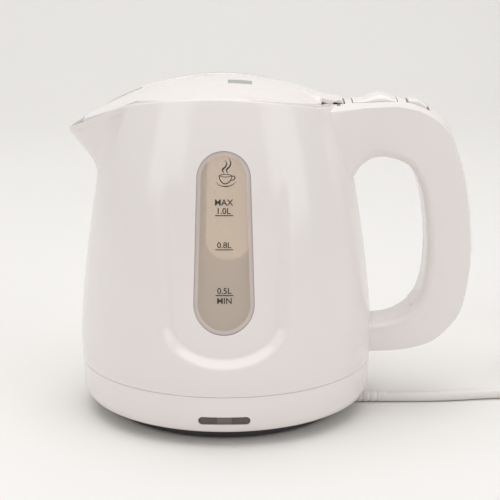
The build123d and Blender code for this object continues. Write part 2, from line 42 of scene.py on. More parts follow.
# Shapes are worked out in millimetres, and makePiece turns them to metres.


# sRGB hex to linear: c / 12.92 below 0.04045, else ((c + 0.055) / 1.055)^2.4.
def linear(hexColour):
    parts = [int(hexColour[i : i + 2], 16) / 255 for i in (1, 3, 5)]
    return [p / 12.92 if p < 0.04045 else ((p + 0.055) / 1.055) ** 2.4 for p in parts] + [1.0]


# Adds a node: settings go to its sockets by name or to its own fields, links come from other nodes' sockets.
def addNode(tree, kind, settings=None, links=None):
    node = tree.nodes.new(kind)
    for key, value in (settings or {}).items():
        if isinstance(key, int) or key in node.inputs:
            node.inputs[key].default_value = value
        else:
            setattr(node, key, value)
    for key, source in (links or {}).items():
        tree.links.new(source, node.inputs[key])
    return node


# An empty material and its node tree.
def newMaterial(name):
    material = bpy.data.materials.new(name)
    material.use_nodes = True
    material.node_tree.nodes.clear()
    return material, material.node_tree


# Ends a node tree with its surface output.
def finishMaterial(tree, shader):
    addNode(tree, "ShaderNodeOutputMaterial", links={"Surface": shader})


# A solid finish: its colour drifts between two colours over driftSize, its roughness varies with it, and a
# fine noise gives bump, grain being its size and its height. All sizes in metres.
def solidFinish(name, settings):
    material, tree = newMaterial(name)
    place = addNode(tree, "ShaderNodeTexCoord").outputs["Object"]
    drift = addNode(
        tree,
        "ShaderNodeTexNoise",
        {"Scale": 1 / settings["driftSize"], "Detail": 3.0, "Roughness": 0.5},
        {"Vector": place},
    ).outputs["Fac"]
    colour = addNode(
        tree,
        "ShaderNodeMix",
        {"data_type": "RGBA", 6: linear(settings["colours"][0]), 7: linear(settings["colours"][1])},
        {0: drift},
    ).outputs[2]
    rough = addNode(
        tree,
        "ShaderNodeMapRange",
        {"From Min": 0.3, "From Max": 0.7, "To Min": settings["rough"][0], "To Max": settings["rough"][1]},
        {"Value": drift},
    ).outputs["Result"]
    grain = addNode(
        tree,
        "ShaderNodeTexNoise",
        {"Scale": 1 / settings["grain"][0], "Detail": 2.0, "Roughness": 0.4},
        {"Vector": place},
    ).outputs["Fac"]
    bump = addNode(
        tree,
        "ShaderNodeBump",
        {"Strength": 0.3, "Distance": settings["grain"][1]},
        {"Height": grain},
    ).outputs["Normal"]
    shader = addNode(
        tree,
        "ShaderNodeBsdfPrincipled",
        {"Metallic": settings.get("metallic", 0.0), "IOR": settings["ior"]},
        {"Base Color": colour, "Roughness": rough, "Normal": bump},
    )
    finishMaterial(tree, shader.outputs["BSDF"])
    return material


# count points evenly along a smooth line through the given ones: between neighbours a cubic
# p = (2u3-3u2+1)a + (u3-2u2+u)h m0 + (3u2-2u3)b + (u3-u2)h m1, m being the slopes over two spans.
def smoothLine(points, count):
    p = np.array(points, float)
    steps = np.sqrt(np.linalg.norm(np.diff(p, axis=0), axis=1))
    t = np.concatenate([[0.0], np.cumsum(steps)])
    slope = np.gradient(p, t, axis=0)
    s = np.linspace(0, t[-1], max(600, 4 * count))
    k = np.clip(np.searchsorted(t, s, side="right") - 1, 0, len(t) - 2)
    h = (t[k + 1] - t[k])[:, None]
    u = (s - t[k])[:, None] / h
    a = (2 * u**3 - 3 * u**2 + 1) * p[k] + (u**3 - 2 * u**2 + u) * h * slope[k]
    b = (3 * u**2 - 2 * u**3) * p[k + 1] + (u**3 - u**2) * h * slope[k + 1]
    fine = a + b
    run = np.concatenate([[0.0], np.cumsum(np.linalg.norm(np.diff(fine, axis=0), axis=1))])
    even = np.linspace(0, run[-1], count)
    return np.stack([np.interp(even, run, fine[:, i]) for i in range(p.shape[1])], 1)


# The second value of a smooth line where its first is x; the line's first values rise.
def valueAt(points, x):
    line = smoothLine(points, 400)
    return np.interp(x, line[:, 0], line[:, 1])


# Goes from 0 at low to 1 at high along 3t2 - 2t3.
def easeStep(low, high, value):
    t = np.clip((value - low) / (high - low), 0, 1)
    return t * t * (3 - 2 * t)


# Quads of a grid of rows x columns; the columns may close on themselves.
def gridFaces(rows, columns, closed=True, start=0):
    r, c = np.meshgrid(np.arange(rows - 1), np.arange(columns if closed else columns - 1), indexing="ij")
    n = (c + 1) % columns
    quads = np.stack([r * columns + c, r * columns + n, (r + 1) * columns + n, (r + 1) * columns + c], -1)
    return (quads.reshape(-1, 4) + start).tolist()


# A tube of sections, (rows, columns, 3), closed round each section and fanned shut at both ends.
def closedTube(sections):
    sections = np.asarray(sections, float)
    rows, columns = sections.shape[:2]
    points = [*sections.reshape(-1, 3), sections[0].mean(0), sections[-1].mean(0)]
    faces = gridFaces(rows, columns)
    first, last = rows * columns, rows * columns + 1
    for c in range(columns):
        n = (c + 1) % columns
        faces.append([first, n, c])
        faces.append([last, (rows - 1) * columns + c, (rows - 1) * columns + n])
    return np.array(points), faces


# A ring turned round the upright axis from its closed half outline, (radius, z).
def turned(outline, columns):
    outline = np.array([*outline, outline[0]], float)
    angle = np.linspace(0, 2 * math.pi, columns, endpoint=False)
    r, z = outline[:, :1], outline[:, 1:]
    points = np.stack([r * np.cos(angle), r * np.sin(angle), z + 0 * angle], -1).reshape(-1, 3)
    return points, gridFaces(len(outline), columns)


# A closed box between two values on each axis.
def boxShape(x, y, z):
    corners = [(x[0], z[0]), (x[1], z[0]), (x[1], z[1]), (x[0], z[1])]
    return closedTube([[(a, side, b) for a, b in corners] for side in y])


# Rounded corners for a polygon: each corner becomes an arc that starts radius/tan(half angle) before it.
def roundCorners(points, radius, steps=5):
    out = []
    p = [np.array(q, float) for q in points]
    radii = radius if hasattr(radius, "__len__") else [radius] * len(p)
    for i, corner in enumerate(p):
        a, b = p[i - 1] - corner, p[(i + 1) % len(p)] - corner
        la, lb = np.linalg.norm(a), np.linalg.norm(b)
        a, b = a / la, b / lb
        half = math.acos(float(np.clip(a @ b, -1, 1))) / 2
        back = min(radii[i] / math.tan(half), 0.48 * la, 0.48 * lb) if half < 1.56 else 0
        if back < 1e-3:
            out.append(corner)
            continue
        real = back * math.tan(half)
        centre = corner + (a + b) / np.linalg.norm(a + b) * real / math.sin(half)
        first, last = corner + a * back - centre, corner + b * back - centre
        sweep = math.atan2(first[0] * last[1] - first[1] * last[0], float(first @ last))
        for s in np.linspace(0, sweep, steps + 1):
            c, n = math.cos(s), math.sin(s)
            out.append(centre + np.array([c * first[0] - n * first[1], n * first[0] + c * first[1]]))
    return np.array(out)


# Several shapes as one: their points in a row, each one's faces counted on from the last.
def combine(*parts):
    points, faces, start = [], [], 0
    for p, f in parts:
        points.append(np.asarray(p, float))
        faces += [[i + start for i in face] for face in f]
        start += len(p)
    return np.vstack(points), faces


# Positions of a mesh's points, one row each, as stored.
def meshPoints(mesh):
    flat = np.zeros(3 * len(mesh.vertices), np.float32)
    mesh.vertices.foreach_get("co", flat)
    return flat.reshape(-1, 3).astype(float)


# Makes the mesh object: metres, doubled points merged, faces turned outward, shaded smooth up to sharpAngle.
def makePiece(name, shape, material, body, sharpAngle=35, solid=True):
    points, faces = shape
    mesh = bpy.data.meshes.new(name)
    mesh.from_pydata((np.asarray(points) * mm).tolist(), [], faces)
    work = bmesh.new()
    work.from_mesh(mesh)
    bmesh.ops.remove_doubles(work, verts=work.verts, dist=2e-6)
    if solid:
        bmesh.ops.recalc_face_normals(work, faces=work.faces)
    work.to_mesh(mesh)
    work.free()
    mesh.polygons.foreach_set("use_smooth", [True] * len(mesh.polygons))
    mesh.set_sharp_from_angle(angle=math.radians(sharpAngle))
    piece = bpy.data.objects.new(name, mesh)
    bpy.context.scene.collection.objects.link(piece)
    if material:
        mesh.materials.append(material)
    if body:
        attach(piece, body)
    return piece


# Adds a modifier with its settings.
def addModifier(piece, kind, settings):
    modifier = piece.modifiers.new(kind.title(), kind)
    for key, value in settings.items():
        setattr(modifier, key, value)


# Bakes a piece's modifiers into its mesh, then shades it smooth up to sharpAngle again.
def bakeModifiers(piece, sharpAngle=35):
    graph = bpy.context.evaluated_depsgraph_get()
    mesh = bpy.data.meshes.new_from_object(piece.evaluated_get(graph))
    piece.modifiers.clear()
    piece.data = mesh
    mesh.polygons.foreach_set("use_smooth", [True] * len(mesh.polygons))
    mesh.set_sharp_from_angle(angle=math.radians(sharpAngle))


# Takes closed shapes away from a piece.
def cutAway(piece, *shapes):
    for shape in shapes:
        cutter = makePiece("cutter", shape, None, None)
        addModifier(piece, "BOOLEAN", {"operation": "DIFFERENCE", "solver": "EXACT", "object": cutter})
        bakeModifiers(piece)
        bpy.data.objects.remove(cutter)


camera = bpy.data.objects.new("camera", bpy.data.cameras.new("camera"))
bpy.context.scene.collection.objects.link(camera)
camera.data.sensor_width = 36.0
camera.data.lens = 104.98
camera.data.dof.use_dof = False
camera.location = (0.0118, -0.700, 0.252)
camera.rotation_euler = (math.radians(75.94), 0, 0)
bpy.context.scene.camera = camera
bpy.context.scene.view_settings.view_transform = "Standard"

# Glossy white ABS, injection moulded in a polished tool: clear sheen with a faint orange peel.
shellFinish = solidFinish(
    "white_abs_polished",
    {
        "colours": ("#EDE7E4", "#EAE4E1"),
        "rough": (0.13, 0.2),
        "driftSize": 0.03,
        "grain": (0.0022, 0.00004),
        "ior": 1.54,
    },
)
# Inner polypropylene, natural white from a plain tool: soft sheen, a little see-through.
innerFinish = solidFinish(
    "white_pp_satin",
    {
        "colours": ("#E6E2DC", "#DFDAD4"),
        "rough": (0.35, 0.45),
        "driftSize": 0.02,
        "grain": (0.0008, 0.00005),
        "ior": 1.49,
    },
)
# Grey ABS inlay, fine spark-eroded texture: flat, even grey without a highlight.
inlayFinish = solidFinish(
    "grey_abs_eroded",
    {
        "colours": ("#A9AEA9", "#A1A6A1"),
        "rough": (0.45, 0.55),
        "driftSize": 0.004,
        "grain": (0.0003, 0.00003),
        "ior": 1.54,
    },
)
# Pad-printed ink: nearly black, dull, a touch thin in places.
inkFinish = solidFinish(
    "dark_pad_ink",
    {
        "colours": ("#2B2827", "#3A3634"),
        "rough": (0.4, 0.55),
        "driftSize": 0.001,
        "grain": (0.0002, 0.00001),
        "ior": 1.5,
    },
)
# Stainless steel, rolled and bead-blasted: grey metal with a soft, grainy highlight.
steelFinish = solidFinish(
    "stainless_rolled",
    {
        "colours": ("#B9B7B2", "#A8A6A1"),
        "rough": (0.25, 0.38),
        "driftSize": 0.01,
        "grain": (0.0006, 0.00002),
        "metallic": 1.0,
        "ior": 2.5,
    },
)
# Aluminium, die cast and left raw: paler, duller metal.
castFinish = solidFinish(
    "aluminium_cast",
    {
        "colours": ("#C2C2C0", "#A9A9A7"),
        "rough": (0.45, 0.6),
        "driftSize": 0.006,
        "grain": (0.0008, 0.00008),
        "metallic": 1.0,
        "ior": 1.5,
    },
)
# Brass, stamped: yellow metal of the contacts.
brassFinish = solidFinish(
    "brass_stamped",
    {
        "colours": ("#C9A45C", "#B08C48"),
        "rough": (0.22, 0.35),
        "driftSize": 0.004,
        "grain": (0.0005, 0.00001),
        "metallic": 1.0,
        "ior": 1.5,
    },
)
# Silicone rubber, moulded: milky, dull, soft edges of light.
rubberFinish = solidFinish(
    "silicone_moulded",
    {
        "colours": ("#D8D4CE", "#CEC9C2"),
        "rough": (0.5, 0.65),
        "driftSize": 0.008,
        "grain": (0.0005, 0.00004),
        "ior": 1.41,
    },
)
# Black polyamide, moulded with glass fibre: dark and dull, for parts near heat and current; on the base plate and
# foot ring its darkness is painted shade for the gap under the jug.
nylonAndShadeFinish = solidFinish(
    "black_nylon_and_painted_shade",
    {
        "colours": ("#3C3A39", "#2F2D2C"),
        "rough": (0.45, 0.6),
        "driftSize": 0.006,
        "grain": (0.0004, 0.00004),
        "ior": 1.53,
    },
)
# Power base, fine spark-eroded texture, dull and charcoal: the dark colour is painted shade for the deep shadow in
# the gap under the white jug.
shadeDarkBaseFinish = solidFinish(
    "charcoal_abs_painted_shade",
    {
        "colours": ("#3A3938", "#343332"),
        "rough": (0.42, 0.52),
        "driftSize": 0.02,
        "grain": (0.0004, 0.00004),
        "ior": 1.54,
    },
)
# White PVC lead jacket, extruded: satin, with a faint pull along it.
jacketFinish = solidFinish(
    "white_pvc_extruded",
    {
        "colours": ("#ECE9E4", "#E4E0DA"),
        "rough": (0.34, 0.44),
        "driftSize": 0.02,
        "grain": (0.0007, 0.00004),
        "ior": 1.53,
    },
)
print("finishes made")

# The lead: a straight run along the floor, a tied coil, a short tail to the plug.
leadChoices = {
    "diameter": 5.4,
    "length": 1.062,
    "exit": (80.0, -7.0, 2.8),
    "coilCentre": (187.0, 34.0),
    "pointsPerTurn": 24,
    "coilAngles": (15, 1880),
}
leadRoute = [
    (80, -7, 2.8),
    (94, -7, 2.8),
    (112, -6, 2.8),
    (131, -2.6, 2.8),
    (150, -1.2, 2.8),
    (170, -1.1, 2.8),
]
leadTail = [(219.5, 50, 8.4), (219.2, 60, 10.6), (219.5, 71, 14.2)]
# radius and height of the turns against the angle turned so far, in degrees from straight below the centre
coilSteps = [
    (0, 35.2, 2.8),
    (320, 35.2, 2.8),
    (360, 29.8, 2.8),
    (680, 29.8, 2.8),
    (720, 24.4, 2.8),
    (1042, 24.4, 2.8),
    (1080, 24.4, 8.2),
    (1350, 24.4, 8.2),
    (1395, 29.8, 8.2),
    (1690, 29.8, 8.2),
    (1745, 35.3, 8.2),
    (1890, 35.3, 8.2),
]


# The route's points, then points round the coil, x = cx + r cos a and y = cy + r sin a, then the tail's.
def leadPoints():
    steps = np.array(coilSteps, float)
    angles = np.arange(*leadChoices["coilAngles"], 360 / leadChoices["pointsPerTurn"])
    radius = np.interp(angles, steps[:, 0], steps[:, 1])
    height = np.interp(angles, steps[:, 0], steps[:, 2])
    turn = np.radians(angles - 90)
    x = leadChoices["coilCentre"][0] + radius * np.cos(turn)
    y = leadChoices["coilCentre"][1] + radius * np.sin(turn)
    return [*leadRoute, *zip(x, y, height), *leadTail]


leadCurve = bpy.data.curves.new("mainsLead", "CURVE")
leadCurve.dimensions = "3D"
leadCurve.bevel_depth = leadChoices["diameter"] / 2 * mm
leadCurve.bevel_resolution = 4
leadCurve.resolution_u = 6
leadCurve.use_fill_caps = True
spline = leadCurve.splines.new("NURBS")
routePoints = leadPoints()
spline.points.add(len(routePoints) - 1)
for point, (x, y, z) in zip(spline.points, routePoints):
    point.co = (x * mm, y * mm, z * mm, 1)
spline.order_u = 3
spline.use_endpoint_u = True
mainsLead = bpy.data.objects.new("mainsLead", leadCurve)
bpy.context.scene.collection.objects.link(mainsLead)
leadCurve.materials.append(jacketFinish)
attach(mainsLead, "base")
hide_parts("cord_tube", "cord_coil", "cord_tail")
print("lead made")


sleeveChoices = {
    "from": 46,
    "to": 80,
    "y": -7,
    "z": 3.1,
    "radius": 3.05,
    "taper": 0.2,
    "grooves": (60, 78),
    "groovePitch": 3.6,
    "grooveDepth": 0.3,
}


# Tapered sleeve where the lead leaves the base: the radius falls evenly, less a row of sin2 grooves.
def sleeveShape():
    start, end, (first, last) = sleeveChoices["from"], sleeveChoices["to"], sleeveChoices["grooves"]
    sections = []
    around = np.linspace(0, 2 * math.pi, 40, endpoint=False)
    for x in np.linspace(start, end, 120):
        share = (x - start) / (end - start)
        turn = (x - first) / sleeveChoices["groovePitch"] * 2 * math.pi
        wave = max(0.0, math.sin(turn)) if first < x < last else 0.0
        radius = sleeveChoices["radius"] - sleeveChoices["taper"] * share - sleeveChoices["grooveDepth"] * wave**2
        radius -= 0.35 * easeStep(end - 0.8, end, x)
        y = sleeveChoices["y"] + radius * np.cos(around)
        z = sleeveChoices["z"] - 0.1 * share + radius * np.sin(around)
        sections.append(np.stack([0 * around + x, y, z], 1))
    return closedTube(sections)


sleeve = makePiece("strainSleeve", sleeveShape(), jacketFinish, "base")
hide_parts("strain_relief")

# Plug: moulded body with finger grooves on its sides, tapering neck, and three flat pins. Its stations give
# y, half width, half height and corner radius.
plugChoices = {
    "x": 219.5,
    "z": 14.2,
    "halfWidth": 17.99,
    "from": 71.0,
    "to": 121.0,
    "stations": [
        (71, 3.6, 3.6, 3.6),
        (77, 4.4, 4.4, 4.4),
        (83, 5.2, 5.2, 5.2),
        (88, 6.2, 6.0, 5.8),
        (91.4, 9.5, 8.0, 7.4),
        (93.0, 13.6, 10.6, 9.0),
        (95.4, 16.4, 12.8, 9.6),
        (99, 17.6, 13.8, 10.0),
        (105, 17.4, 14.0, 10.0),
        (111, 17.6, 14.0, 10.0),
        (117, 17.9, 14.0, 10.0),
        (120.2, 17.9, 14.0, 10.0),
        (121, 17.2, 13.3, 9.6),
    ],
}
# offset along x and z and lean of each pin, its half size, and its size at steps along y
pinChoices = {
    "spots": [(7.9, 3, 30), (-7.9, 3, -30), (0, -7, 90)],
    "half": (0.8, 3.15),
    "corner": 0.35,
    "steps": [(120.5, 1.0), (137.0, 1.0), (137.7, 0.9), (138.0, 0.7)],
}


# Rounded boxes carried along y, their half width, half height and corner on a smooth line.
def plugShape():
    sections = []
    x0, reach = plugChoices["x"], plugChoices["halfWidth"]
    for y, wide, high, corner in smoothLine(plugChoices["stations"], 60):
        corner = min(corner, wide - 0.02, high - 0.02)
        box = [(wide, high), (-wide, high), (-wide, -high), (wide, -high)]
        loop = roundCorners(box, corner, steps=10)
        x = np.clip(x0 + loop[:, 0], x0 - reach, x0 + reach)
        y = min(max(y, plugChoices["from"]), plugChoices["to"])
        sections.append(np.stack([x, np.full(len(loop), y), plugChoices["z"] + loop[:, 1]], 1))
    return closedTube(sections)


# A flat pin: a rounded box leant about y, shrinking a little at its tip.
def pinShape(offsetX, offsetZ, lean):
    angle = math.radians(lean)
    a, b = pinChoices["half"]
    half = roundCorners([(a, b), (-a, b), (-a, -b), (a, -b)], pinChoices["corner"], steps=3)
    turnedX = half[:, 0] * math.cos(angle) - half[:, 1] * math.sin(angle)
    turnedZ = half[:, 0] * math.sin(angle) + half[:, 1] * math.cos(angle)
    sections = []
    for y, grow in pinChoices["steps"]:
        x = plugChoices["x"] + offsetX + turnedX * grow
        z = plugChoices["z"] + offsetZ + turnedZ * grow
        sections.append(np.stack([x, np.full(len(x), y), z], 1))
    return closedTube(sections)


plug = makePiece("plugBody", plugShape(), jacketFinish, "base")
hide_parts("plug_body")
pins = makePiece("plugPins", combine(*[pinShape(*spot) for spot in pinChoices["spots"]]), brassFinish, "base")
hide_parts("plug_pins")


tieChoices = {"x": (184.5, 189.5), "y": (54.7, 72.8), "z": (0.1, 11.7), "side": 0.9, "over": 0.8, "corner": 2.6}


# Tie over the coil: a flat band bent to an upside-down U round the bundle of turns, carried along x.
def tieShape():
    (low, high), (floor, top) = tieChoices["y"], tieChoices["z"]
    side, over, corner = tieChoices["side"], tieChoices["over"], tieChoices["corner"]
    outer = roundCorners([(high, floor), (high, top), (low, top), (low, floor)], [0, corner, corner, 0], steps=6)
    low, high, top, corner = low + side, high - side, top - over, corner - over
    inner = roundCorners([(high, floor), (high, top), (low, top), (low, floor)], [0, corner, corner, 0], steps=6)
    loop = np.vstack([outer, inner[::-1]])
    sections = [
        np.stack([np.full(len(loop), x), loop[:, 0], loop[:, 1]], 1) for x in np.linspace(*tieChoices["x"], 5)
    ]
    points, faces = np.vstack(sections), gridFaces(5, len(loop))
    half = len(outer)
    for end in (0, 4):
        for i in range(half - 1):
            a, b = end * len(loop) + i, end * len(loop) + i + 1
            c, d = end * len(loop) + len(loop) - 2 - i, end * len(loop) + len(loop) - 1 - i
            faces.append([a, b, c, d])
    return points, faces


tie = makePiece("leadTie", tieShape(), jacketFinish, "base")
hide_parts("cord_tie")
print("plug and tie made")

# The jug's shell: round wall, wedge spout and the two panels that the windows sit in.
bodyProfile = [(25, 71.4), (34, 72.1), (66, 69.8), (114, 62.5), (138, 56.6), (160, 49.8), (169, 46.6)]
rimLine = [(-76.4, 138.2), (-63, 145.2), (-45, 153), (-18, 158.0), (5, 158.5), (34, 154.3), (48, 151), (60, 149.6)]
# height, nose and half width of the wedge, and how it is rounded
spoutSteps = [(108, 59.0, 14.0), (122, 64.4, 19.0), (138.2, 76.4, 24.0), (156, 86.0, 27.0)]
spoutChoices = {"widthAt": 50, "noseRounding": 0.055, "sideBlend": 5.0, "wallBlend": 4.0}
shellChoices = {"seam": 25.15, "edge": 0.7, "thick": 2.6}
panelChoices = {
    "halfWidth": 30.5,
    "bottom": 37.5,
    "endHeight": 20.0,
    "softEdge": 5.4,
    "depth": 4.8,
    "fade": (58.0, 138.0),
}
windowLow = (14.0, 67.0)
windowHigh = (12.3, 124.3)


# Radius of the round wall at a height.
def wallRadius(z):
    return valueAt(bodyProfile, z)


# The panel lies deepest below and rises gently into the wall towards its top.
def panelRadius(z):
    depth = panelChoices["depth"] * (1 - easeStep(*panelChoices["fade"], z))
    return wallRadius(z) - depth


# Distance outside the panel's outline, straight sides over half an ellipse: (|q| - 1) / |gradient of |q||.
def panelDistance(x, z):
    wide, tall = panelChoices["halfWidth"], panelChoices["endHeight"]
    qx = np.abs(x) / wide
    qz = np.maximum(panelChoices["bottom"] + tall - z, 0) / tall
    length = np.maximum(np.hypot(qx, qz), 1e-3)
    return (length - 1) * length / np.maximum(np.hypot(qx / wide, qz / tall), 1e-4)


# Distance outside a window's outline, the hull of two circles, and the way out of it.
def windowDistance(x, z):
    r1, z1 = windowLow
    r2, z2 = windowHigh
    h = z2 - z1
    b = (r1 - r2) / h
    a = math.sqrt(1 - b * b)
    px, pz = np.abs(x), z - z1
    along = -b * px + a * pz
    low, high = np.hypot(px, pz), np.hypot(px, pz - h)
    distance = np.where(along < 0, low - r1, np.where(along > a * h, high - r2, a * px + b * pz - r1))
    outX = np.where(along < 0, px / low, np.where(along > a * h, px / high, a)) * np.sign(x + 1e-9)
    outZ = np.where(along < 0, pz / low, np.where(along > a * h, (pz - h) / high, b))
    return distance, outX, outZ


# Rounds the corner where two values cross: (1 - |a - b| / reach)^2 reach / 4 within reach.
def blendAmount(a, b, reach):
    return (np.maximum(reach - np.abs(a - b), 0) / reach) ** 2 * reach / 4


# Radius of the outside at an angle and height: the wall, less the panel's depth, joined to the wedge
# r = h n / (h cos f + (n - 50)(sqrt(sin2 f + e2) - e)), n the nose, h the half width at x = -50.
def shellRadius(angle, z):
    wall = wallRadius(z)
    x = wall * np.cos(angle)
    depth = np.maximum(wall - panelRadius(z), 0)
    inPanel = easeStep(0, panelChoices["softEdge"], -panelDistance(x, z))
    inPanel = inPanel * (np.abs(np.sin(angle)) > 0.5)
    wall = wall - depth * inPanel
    lines = np.array(spoutSteps, float)
    nose = valueAt(lines[:, [0, 1]], z)
    half = valueAt(lines[:, [0, 2]], z)
    f = angle - math.pi
    soft = spoutChoices["noseRounding"]
    slope = np.sqrt(np.sin(f) ** 2 + soft**2) - soft
    under = half * np.cos(f) + (nose - spoutChoices["widthAt"]) * slope
    wedge = half * nose / np.maximum(under, 1e-3)
    side = half / np.maximum(np.abs(np.sin(f)), 1e-3)
    wedge = np.minimum(wedge, side) - blendAmount(wedge, side, spoutChoices["sideBlend"])
    wedge = np.where((np.cos(f) > 0.3) & (z > spoutSteps[0][0]), wedge, 0)
    return np.maximum(wall, wedge) + blendAmount(wall, wedge, spoutChoices["wallBlend"])


# Height of the top edge at a distance along x.
def rimHeight(x):
    return valueAt(rimLine, x)


# Angles spaced by how much happens there: the spout's nose, the windows, then the plain wall.
def shellAngles():
    fine = np.linspace(0, 2 * math.pi, 20001)
    nose = np.exp(-(((fine - math.pi) / 0.12) ** 2))
    front = np.exp(-(((np.abs(fine - math.pi) - math.pi / 2) / 0.5) ** 4))
    weight = np.cumsum(0.8 + 1.6 * nose + 0.7 * front)
    weight = (weight - weight[0]) / (weight[-1] - weight[0])
    return np.interp(np.linspace(0, 1, 401)[:-1], weight, fine)


# Grid of angle by height up to the rim, then a rounded edge; points in a window's outline move out onto it.
def shellShape(rows=104):
    angle = shellAngles()
    top = np.full(len(angle), 150.0)
    for _ in range(40):
        top = 0.5 * top + 0.5 * rimHeight(shellRadius(angle, top) * np.cos(angle))
    low, edge = shellChoices["seam"], shellChoices["edge"]
    # rows lie closer together where the panels end below
    fine = np.linspace(0, 1, 2001)
    weight = np.cumsum(1 + 1.6 * np.exp(-(((fine - 0.16) / 0.11) ** 4)))
    share = np.interp(np.linspace(0, 1, rows), (weight - weight[0]) / (weight[-1] - weight[0]), fine)[:, None]
    z = low + (top[None, :] - edge - low) * share
    r = shellRadius(angle[None, :] + 0 * z, z)
    for turn in (0.25, 0.5, 0.75, 1.0):
        lift = edge * math.sin(turn * math.pi / 2)
        inward = edge * (1 - math.cos(turn * math.pi / 2))
        z = np.vstack([z, z[rows - 1 : rows] + lift])
        r = np.vstack([r, shellRadius(angle, z[-1])[None, :] - inward])
    rows = len(z)
    x, y = r * np.cos(angle), r * np.sin(angle)
    distance, outX, outZ = windowDistance(x, z)
    side = np.abs(y) > 30
    inside = (distance < 0.25) & side
    # faces wholly inside the outline go, points of the others move out onto it
    faces = np.array(gridFaces(rows, len(angle)))
    drop = inside.reshape(-1)[faces].all(1)
    touched = np.zeros(inside.size, bool)
    touched[faces[~drop].reshape(-1)] = True
    snap = touched.reshape(inside.shape) & inside
    x = np.where(snap, x - distance * outX, x)
    z = np.where(snap, z - distance * outZ, z)
    r = np.where(snap, panelRadius(z), np.hypot(x, y))
    y = np.where(snap, np.sign(y) * np.sqrt(np.maximum(r**2 - x**2, 1)), y)
    points = np.stack([x, y, z], -1).reshape(-1, 3)
    faces = faces[~drop]
    used = np.unique(faces)
    renumber = np.zeros(len(points), int)
    renumber[used] = np.arange(len(used))
    return points[used], renumber[faces].tolist()


shell = makePiece("jugShell", shellShape(), shellFinish, "jug", sharpAngle=40)
addModifier(shell, "SOLIDIFY", {"thickness": shellChoices["thick"] * mm, "offset": -1.0})
bakeModifiers(shell, 40)
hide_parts("jug_body", "spout_shell")
print("shell made", len(shell.data.polygons))


neckChoices = {"radius": 47.5, "floor": 141.0, "angles": (8.0, 148.0), "belowRim": 0.35, "edge": 0.4}


# The mouth's neck: a ring inside the wall, from the spout's channel round to the hinge on each side. Its
# section goes from the neck's radius out into the wall, up to just under the rim.
def neckShape(side):
    radius, floor, edge = neckChoices["radius"], neckChoices["floor"], neckChoices["edge"]
    sections = []
    for angle in np.radians(np.linspace(*neckChoices["angles"], 124)):
        angle = side * angle
        top = float(rimHeight(radius * math.cos(angle))) - neckChoices["belowRim"]
        inWall = shellRadius(np.array([angle, angle]), np.array([floor, top])) - [1.6, 1.2]
        loop = [(radius, floor), (inWall[0], floor), (inWall[1], top), (radius + edge, top), (radius, top - edge)]
        loop = np.array(loop)
        sections.append(np.stack([loop[:, 0] * math.cos(angle), loop[:, 0] * math.sin(angle), loop[:, 1]], 1))
    return closedTube(sections)


neck = makePiece("jugNeck", combine(neckShape(1), neckShape(-1)), shellFinish, "jug")

# The handle's sections, each from a point on its outer line to one on its inner line.
handlePairs = [
    ((50.6, 151.0), (60.6, 112.5)),
    ((58.0, 151.4), (61.4, 114.0)),
    ((65.0, 151.9), (65.6, 121.2)),
    ((74.0, 152.4), (73.0, 125.0)),
    ((84.0, 152.4), (81.5, 124.1)),
    ((95.0, 149.4), (88.6, 120.6)),
    ((106.0, 142.0), (92.4, 114.5)),
    ((112.4, 128.0), (95.0, 107.0)),
    ((117.6, 110.0), (96.8, 97.0)),
    ((121.0, 80.0), (98.2, 78.0)),
    ((119.6, 60.0), (96.8, 63.0)),
    ((116.0, 46.0), (93.6, 53.4)),
    ((110.0, 38.0), (89.0, 48.2)),
    ((103.0, 32.2), (84.0, 45.0)),
    ((94.0, 28.9), (79.0, 43.3)),
    ((84.0, 27.0), (74.6, 42.7)),
    ((70.2, 26.2), (70.2, 42.3)),
]
handleChoices = {
    "half": 13.5,
    "corner": 5.0,
    "crown": 2.5,
    "edge": 0.7,
    "rootFlare": 8.0,
    "flareSpan": (50, 74),
    "wrapSpan": (52, 72),
    "wallRadius": 56,
    "rootAbove": 90,
}


# Rounded boxes from the outer to the inner line, wider at the upper root and bent round the wall there.
def handleShape(rows=150):
    root = handleChoices["rootAbove"]
    pairs = np.array([[*o, *i] for o, i in handlePairs], float)
    line = smoothLine(pairs, rows)
    sections = []
    for ox, oz, ix, iz in line:
        out, inn = np.array([ox, oz]), np.array([ix, iz])
        centre, reach = (out + inn) / 2, np.linalg.norm(out - inn) / 2
        u = (out - inn) / (2 * reach)
        flare = (1 - easeStep(*handleChoices["flareSpan"], ox)) ** 1.5 * (oz > root)
        half = handleChoices["half"] + handleChoices["rootFlare"] * flare
        # the outer face is crowned between two crisp edges, the finger side has soft corners
        crown = np.linspace(-1, 1, 13)
        face = [(reach - handleChoices["crown"] * v * v, half * v) for v in crown]
        box = [*face, (-reach, half), (-reach, -half)]
        radii = [handleChoices["edge"], *[0] * 11, handleChoices["edge"], *[handleChoices["corner"]] * 2]
        loop = roundCorners(box, radii, steps=8)
        x = centre[0] + loop[:, 0] * u[0]
        z = centre[1] + loop[:, 0] * u[1]
        # near the wall the section bends round it: x falls by R - sqrt(R2 - y2)
        wrap = 1 - easeStep(*handleChoices["wrapSpan"], x)
        wall = handleChoices["wallRadius"]
        around = np.sqrt(np.maximum(wall**2 - loop[:, 1] ** 2, 1))
        x = x - wrap * (wall - around) * (z > root)
        sections.append(np.stack([x, loop[:, 1], z], 1))
    return closedTube(sections)


handle = makePiece("jugHandle", handleShape(), shellFinish, "jug")
buttonHole = boxShape((60.6, 82.4), (-8.4, 8.4), (129, 170))
rockerHole = boxShape((86.6, 98.0), (-7.4, 7.4), (129, 170))
hingeNotch = boxShape((40, 57.3), (-9.3, 9.3), (146.2, 170))
cutAway(handle, buttonHole, rockerHole, hingeNotch)
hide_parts("handle_shell")
cutAway(shell, hingeNotch)
cutAway(neck, hingeNotch)
print("handle made", len(handle.data.polygons))


